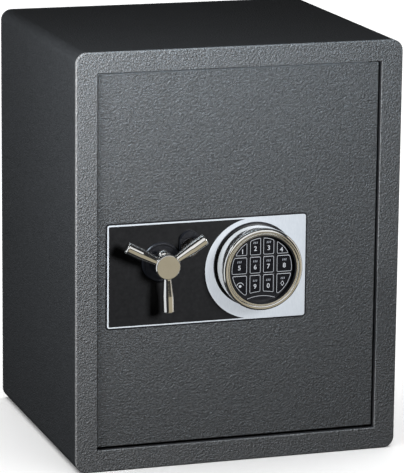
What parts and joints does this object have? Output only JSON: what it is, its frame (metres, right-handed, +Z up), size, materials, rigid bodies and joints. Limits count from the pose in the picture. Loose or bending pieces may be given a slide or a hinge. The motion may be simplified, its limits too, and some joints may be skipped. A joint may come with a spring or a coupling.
{
  "type": "gun safe",
  "caption": "Compact upright steel gun safe: recessed front door with a round keypad lock, a three-spoke handle, an override key lock, sliding bolts and one shelf inside.",
  "frame": {"origin": "centre of the footprint, on the floor", "axes": "+Z up; the door faces -Y; +X to the right seen from the front"},
  "size_m": [0.36, 0.337, 0.45],
  "materials": {
    "body_paint": "fine-textured charcoal powder coat",
    "inner_paint": "smooth dark grey paint",
    "felt": "short black felt",
    "zinc_steel": "zinc-plated steel",
    "bright_plate": "fine satin silver",
    "black_film": "satin black film",
    "black_plastic": "black moulded plastic",
    "key_plastic": "black keys with silver outlines and white digits",
    "chrome": "polished chrome",
    "brass": "machined brass",
    "circuit_board": "green circuit board",
    "cable_sheath": "grey cable sheath"
  },
  "bodies": {
    "root": {"outer_shell": "body_paint", "back_panel": "body_paint", "front_frame": "body_paint", "door_stop": "body_paint", "hinge_blocks": "zinc_steel", "floor_mat": "felt", "shelf": "inner_paint", "shelf_mat": "felt", "shelf_brackets": "inner_paint"},
    "door": {"door_plate": "body_paint", "door_pan": "inner_paint", "hinge_lugs": "zinc_steel", "hinge_pins": "zinc_steel", "dead_bars": "zinc_steel", "inner_cover": "inner_paint", "cover_screws": "zinc_steel", "fascia_backing": "black_film", "lock_plate": "bright_plate", "fascia_inlay": "black_film", "handle_rose": "black_plastic", "spindle_bush": "brass", "bolt_guides": "zinc_steel", "carriage_studs": "zinc_steel", "lock_case": "zinc_steel", "lock_lid": "zinc_steel", "lock_motor": "zinc_steel", "lock_screws": "zinc_steel", "keypad_base": "black_plastic", "keypad_ring": "chrome", "keypad_face": "black_plastic", "keypad_board": "circuit_board", "keypad_battery": "zinc_steel", "keypad_cable": "cable_sheath", "key_escutcheon": "black_plastic", "key_barrel": "chrome", "key_nut": "zinc_steel"},
    "handle": {"handle_hub": "chrome", "handle_spokes": "chrome", "spindle": "zinc_steel", "drive_cam": "zinc_steel", "cam_pin": "zinc_steel", "cam_screw": "zinc_steel"},
    "carriage": {"bolt_carriage": "zinc_steel", "locking_bolts": "chrome"},
    "blocking_bolt": {"lock_bolt": "brass"},
    "override_plug": {"key_plug": "zinc_steel", "key_cam": "zinc_steel"},
    "button_1": {"key_1": "key_plastic"},
    "button_2": {"key_2": "key_plastic"},
    "button_3": {"key_3": "key_plastic"},
    "button_4": {"key_4": "key_plastic"},
    "button_5": {"key_5": "key_plastic"},
    "button_6": {"key_6": "key_plastic"},
    "button_7": {"key_7": "key_plastic"},
    "button_8": {"key_8": "key_plastic"},
    "button_star": {"key_star": "key_plastic"},
    "button_9": {"key_9": "key_plastic"},
    "button_0": {"key_0": "key_plastic"},
    "button_enter": {"key_enter": "key_plastic"}
  },
  "joints": [
    {"name": "door_hinge", "type": "hinge", "parent": "root", "child": "door", "pos_m": [0.1453, -0.1445, 0.225], "axis": [0, 0, 1], "range_deg": [0, 105]},
    {"name": "handle_turn", "type": "hinge", "parent": "door", "child": "handle", "pos_m": [-0.0864, -0.1445, 0.224], "axis": [0, -1, 0], "range_deg": [0, 90]},
    {"name": "bolt_throw", "type": "slide", "parent": "door", "child": "carriage", "axis": [-1, 0, 0], "range_m": [0, 0.018]},
    {"name": "blocking_bolt_slide", "type": "slide", "parent": "door", "child": "blocking_bolt", "axis": [0, 0, 1], "range_m": [0, 0.009]},
    {"name": "override_turn", "type": "hinge", "parent": "door", "child": "override_plug", "pos_m": [-0.0555, -0.1445, 0.2388], "axis": [0, -1, 0], "range_deg": [0, 90]},
    {"name": "press_1", "type": "slide", "parent": "door", "child": "button_1", "axis": [0, 1, 0], "range_m": [0, 0.001], "stiffness_N_per_m": 900},
    {"name": "press_2", "type": "slide", "parent": "door", "child": "button_2", "axis": [0, 1, 0], "range_m": [0, 0.001], "stiffness_N_per_m": 900},
    {"name": "press_3", "type": "slide", "parent": "door", "child": "button_3", "axis": [0, 1, 0], "range_m": [0, 0.001], "stiffness_N_per_m": 900},
    {"name": "press_4", "type": "slide", "parent": "door", "child": "button_4", "axis": [0, 1, 0], "range_m": [0, 0.001], "stiffness_N_per_m": 900},
    {"name": "press_5", "type": "slide", "parent": "door", "child": "button_5", "axis": [0, 1, 0], "range_m": [0, 0.001], "stiffness_N_per_m": 900},
    {"name": "press_6", "type": "slide", "parent": "door", "child": "button_6", "axis": [0, 1, 0], "range_m": [0, 0.001], "stiffness_N_per_m": 900},
    {"name": "press_7", "type": "slide", "parent": "door", "child": "button_7", "axis": [0, 1, 0], "range_m": [0, 0.001], "stiffness_N_per_m": 900},
    {"name": "press_8", "type": "slide", "parent": "door", "child": "button_8", "axis": [0, 1, 0], "range_m": [0, 0.001], "stiffness_N_per_m": 900},
    {"name": "press_star", "type": "slide", "parent": "door", "child": "button_star", "axis": [0, 1, 0], "range_m": [0, 0.001], "stiffness_N_per_m": 900},
    {"name": "press_9", "type": "slide", "parent": "door", "child": "button_9", "axis": [0, 1, 0], "range_m": [0, 0.001], "stiffness_N_per_m": 900},
    {"name": "press_0", "type": "slide", "parent": "door", "child": "button_0", "axis": [0, 1, 0], "range_m": [0, 0.001], "stiffness_N_per_m": 900},
    {"name": "press_enter", "type": "slide", "parent": "door", "child": "button_enter", "axis": [0, 1, 0], "range_m": [0, 0.001], "stiffness_N_per_m": 900}
  ],
  "couplings": [
    {"joint": "bolt_throw", "follows": "handle_turn", "m_per_rad": 0.011459}
  ]
}
